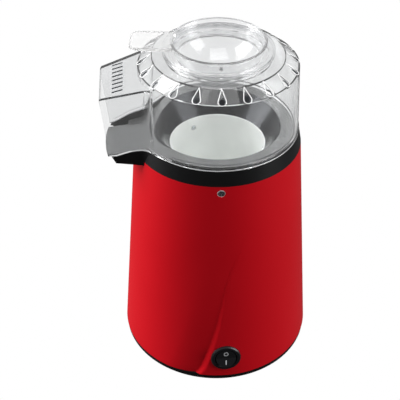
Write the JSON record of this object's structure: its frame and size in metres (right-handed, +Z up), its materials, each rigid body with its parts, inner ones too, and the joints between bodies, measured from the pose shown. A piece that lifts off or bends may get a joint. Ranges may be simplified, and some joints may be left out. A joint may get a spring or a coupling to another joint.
{
  "type": "popcorn maker",
  "caption": "Hot-air popcorn maker with a tapered body, rocker switch, clear lift-off hood with an open chute, and a measuring cup that sits in the hood's neck.",
  "frame": {"origin": "centre of the bounding box's footprint, on the table surface under the rubber feet", "axes": "+Z up, the chute's mouth points to -Y, the rocker switch faces +X, the cord inlet faces +Y"},
  "size_m": [0.1594, 0.1658, 0.2743],
  "materials": {
    "black_plastic": "semi-gloss moulded",
    "red_paint": "satin painted",
    "rubber": "matte",
    "steel": "bright zinc",
    "deck_grey": "metallic grey gloss",
    "chamber_aluminium": "drawn, satin",
    "galvanised": "galvanised sheet",
    "ceramic_white": "unglazed",
    "housing_plastic": "moulded",
    "mica": "layered sheet",
    "nichrome": "oxidised wire",
    "motor_steel": "plated",
    "ferrite": "sintered",
    "bronze": "sintered",
    "board": "phenolic board",
    "lead_insulation": "glass-braided sleeve",
    "armature_copper": "enamelled windings",
    "switch_black": "moulded",
    "impeller_white": "moulded",
    "clear_plastic": "clear polycarbonate"
  },
  "bodies": {
    "base": {"base_plate": "black_plastic", "rubber_feet": "rubber", "base_screws": "steel", "housing_screws": "steel", "body_shell": "red_paint", "collar": "black_plastic", "collar_screws": "steel", "popping_deck": "deck_grey", "deck_screws": "steel", "popping_chamber": "chamber_aluminium", "chamber_brackets": "galvanised", "chamber_rivets": "steel", "air_duct": "galvanised", "duct_grommet": "ceramic_white", "fan_housing": "housing_plastic", "heater_frame": "mica", "heater_coil": "nichrome", "thermostat": "housing_plastic", "thermal_fuse": "ceramic_white", "motor_can": "motor_steel", "motor_magnets": "ferrite", "motor_end_cap": "housing_plastic", "motor_bushes": "bronze", "motor_screws": "steel", "rectifier_board": "board", "diodes": "housing_plastic", "terminal_block": "ceramic_white", "internal_leads": "lead_insulation", "cord_gland": "black_plastic", "switch_housing": "switch_black", "switch_terminals": "bronze", "shell_bosses": "housing_plastic"},
    "rotor": {"motor_shaft": "motor_steel", "motor_armature": "armature_copper", "commutator": "bronze", "impeller": "impeller_white", "impeller_nut": "steel"},
    "rocker": {"switch_rocker": "switch_black"},
    "hood": {"hood": "clear_plastic"},
    "cup": {"measuring_cup": "clear_plastic"}
  },
  "joints": [
    {"name": "hood_lift", "type": "slide", "parent": "base", "child": "hood", "axis": [0, 0, 1], "range_m": [0, 0.12]},
    {"name": "cup_lift", "type": "slide", "parent": "hood", "child": "cup", "axis": [0, 0, 1], "range_m": [0, 0.06]},
    {"name": "rocker_tilt", "type": "hinge", "parent": "base", "child": "rocker", "pos_m": [0.07231, 0.00713, 0.02497], "axis": [-0.0349, 0.9994, 0], "range_deg": [0, 15]},
    {"name": "fan_spin", "type": "hinge", "parent": "base", "child": "rotor", "pos_m": [-0.00144, 0.00455, 0.07], "axis": [0, 0, 1], "continuous": true}
  ]
}
